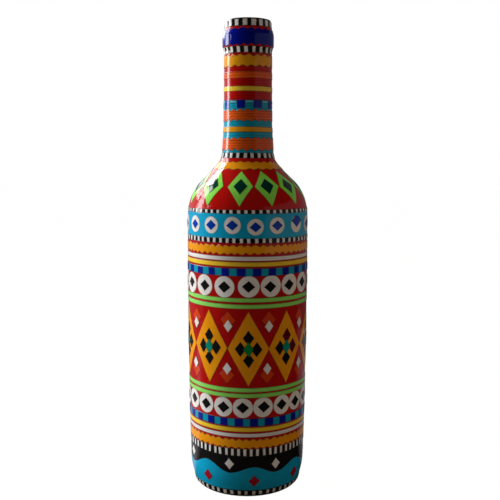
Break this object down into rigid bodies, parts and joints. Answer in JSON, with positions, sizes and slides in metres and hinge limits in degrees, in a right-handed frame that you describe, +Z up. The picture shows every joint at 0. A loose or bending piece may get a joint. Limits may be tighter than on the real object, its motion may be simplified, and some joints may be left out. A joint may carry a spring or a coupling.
{
  "type": "decorative glass bottle",
  "caption": "Tall round-shouldered bottle with a punted base, dressed from lip to heel in layers of cut vinyl tape: bands, pinked strips, checks, discs and diamonds.",
  "frame": {"origin": "middle of the resting ring, on the table", "axes": "+Z up along the bottle's axis and out of its mouth, -Y towards the front that the picture shows"},
  "size_m": [0.0784, 0.0784, 0.3006],
  "materials": {
    "glass": "green bottle glass, smooth",
    "tape_red": "glossy vinyl",
    "tape_black": "glossy vinyl",
    "tape_white": "glossy vinyl",
    "tape_cobalt": "glossy vinyl",
    "tape_teal": "glossy vinyl",
    "tape_blue": "glossy vinyl",
    "tape_amber": "glossy vinyl",
    "tape_yellow": "glossy vinyl",
    "tape_orange": "glossy vinyl",
    "tape_green": "glossy vinyl",
    "tape_dark_green": "glossy vinyl",
    "tape_leaf_green": "glossy vinyl",
    "tape_crimson": "glossy vinyl"
  },
  "bodies": {
    "root": {"glass_bottle": "glass", "rim_wrap_black": "tape_black", "rim_checks_white": "tape_white", "finish_ground_red": "tape_red", "finish_strip_cobalt": "tape_cobalt", "collar_wrap_black": "tape_black", "collar_checks_white": "tape_white", "neck_ground_red": "tape_red", "neck_strip_amber": "tape_amber", "neck_stripe_orange": "tape_orange", "neck_stripe_yellow": "tape_yellow", "neck_ground_teal": "tape_teal", "neck_checks_cobalt": "tape_cobalt", "neck_strip_orange_upper": "tape_orange", "neck_stripe_amber": "tape_amber", "neck_strip_orange_lower": "tape_orange", "neck_foot_wrap_black": "tape_black", "neck_foot_checks_white": "tape_white", "shoulder_ground_red": "tape_red", "shoulder_strip_amber": "tape_amber", "shoulder_diamonds_green": "tape_green", "shoulder_diamonds_dark": "tape_dark_green", "shoulder_wrap_black": "tape_black", "shoulder_checks_white": "tape_white", "disc_band_blue": "tape_blue", "disc_band_discs_white": "tape_white", "disc_band_diamonds_cobalt": "tape_cobalt", "waist_wrap_black": "tape_black", "waist_checks_white": "tape_white", "body_ground_red": "tape_red", "upper_strip_amber": "tape_amber", "upper_stripe_white": "tape_white", "upper_stripe_yellow": "tape_yellow", "upper_ring_teal": "tape_teal", "upper_checks_cobalt": "tape_cobalt", "upper_discs_white": "tape_white", "upper_diamonds_black": "tape_black", "upper_stripes_green": "tape_green", "lozenges_amber": "tape_amber", "lozenge_crosses_black": "tape_black", "lozenge_centres_green": "tape_leaf_green", "gap_diamonds_orange": "tape_orange", "gap_diamonds_white": "tape_white", "lower_stripes_green": "tape_green", "lower_discs_white": "tape_white", "lower_diamonds_black": "tape_black", "lower_ring_teal": "tape_teal", "lower_checks_cobalt": "tape_cobalt", "lower_stripe_yellow": "tape_yellow", "lower_stripe_white": "tape_white", "lower_strip_amber": "tape_amber", "base_band_black": "tape_black", "base_bars_white": "tape_white", "base_diamonds_white": "tape_white", "base_band_blue": "tape_blue", "base_diamonds_red": "tape_crimson", "heel_wrap_black": "tape_black", "heel_checks_white": "tape_white"}
  },
  "joints": []
}
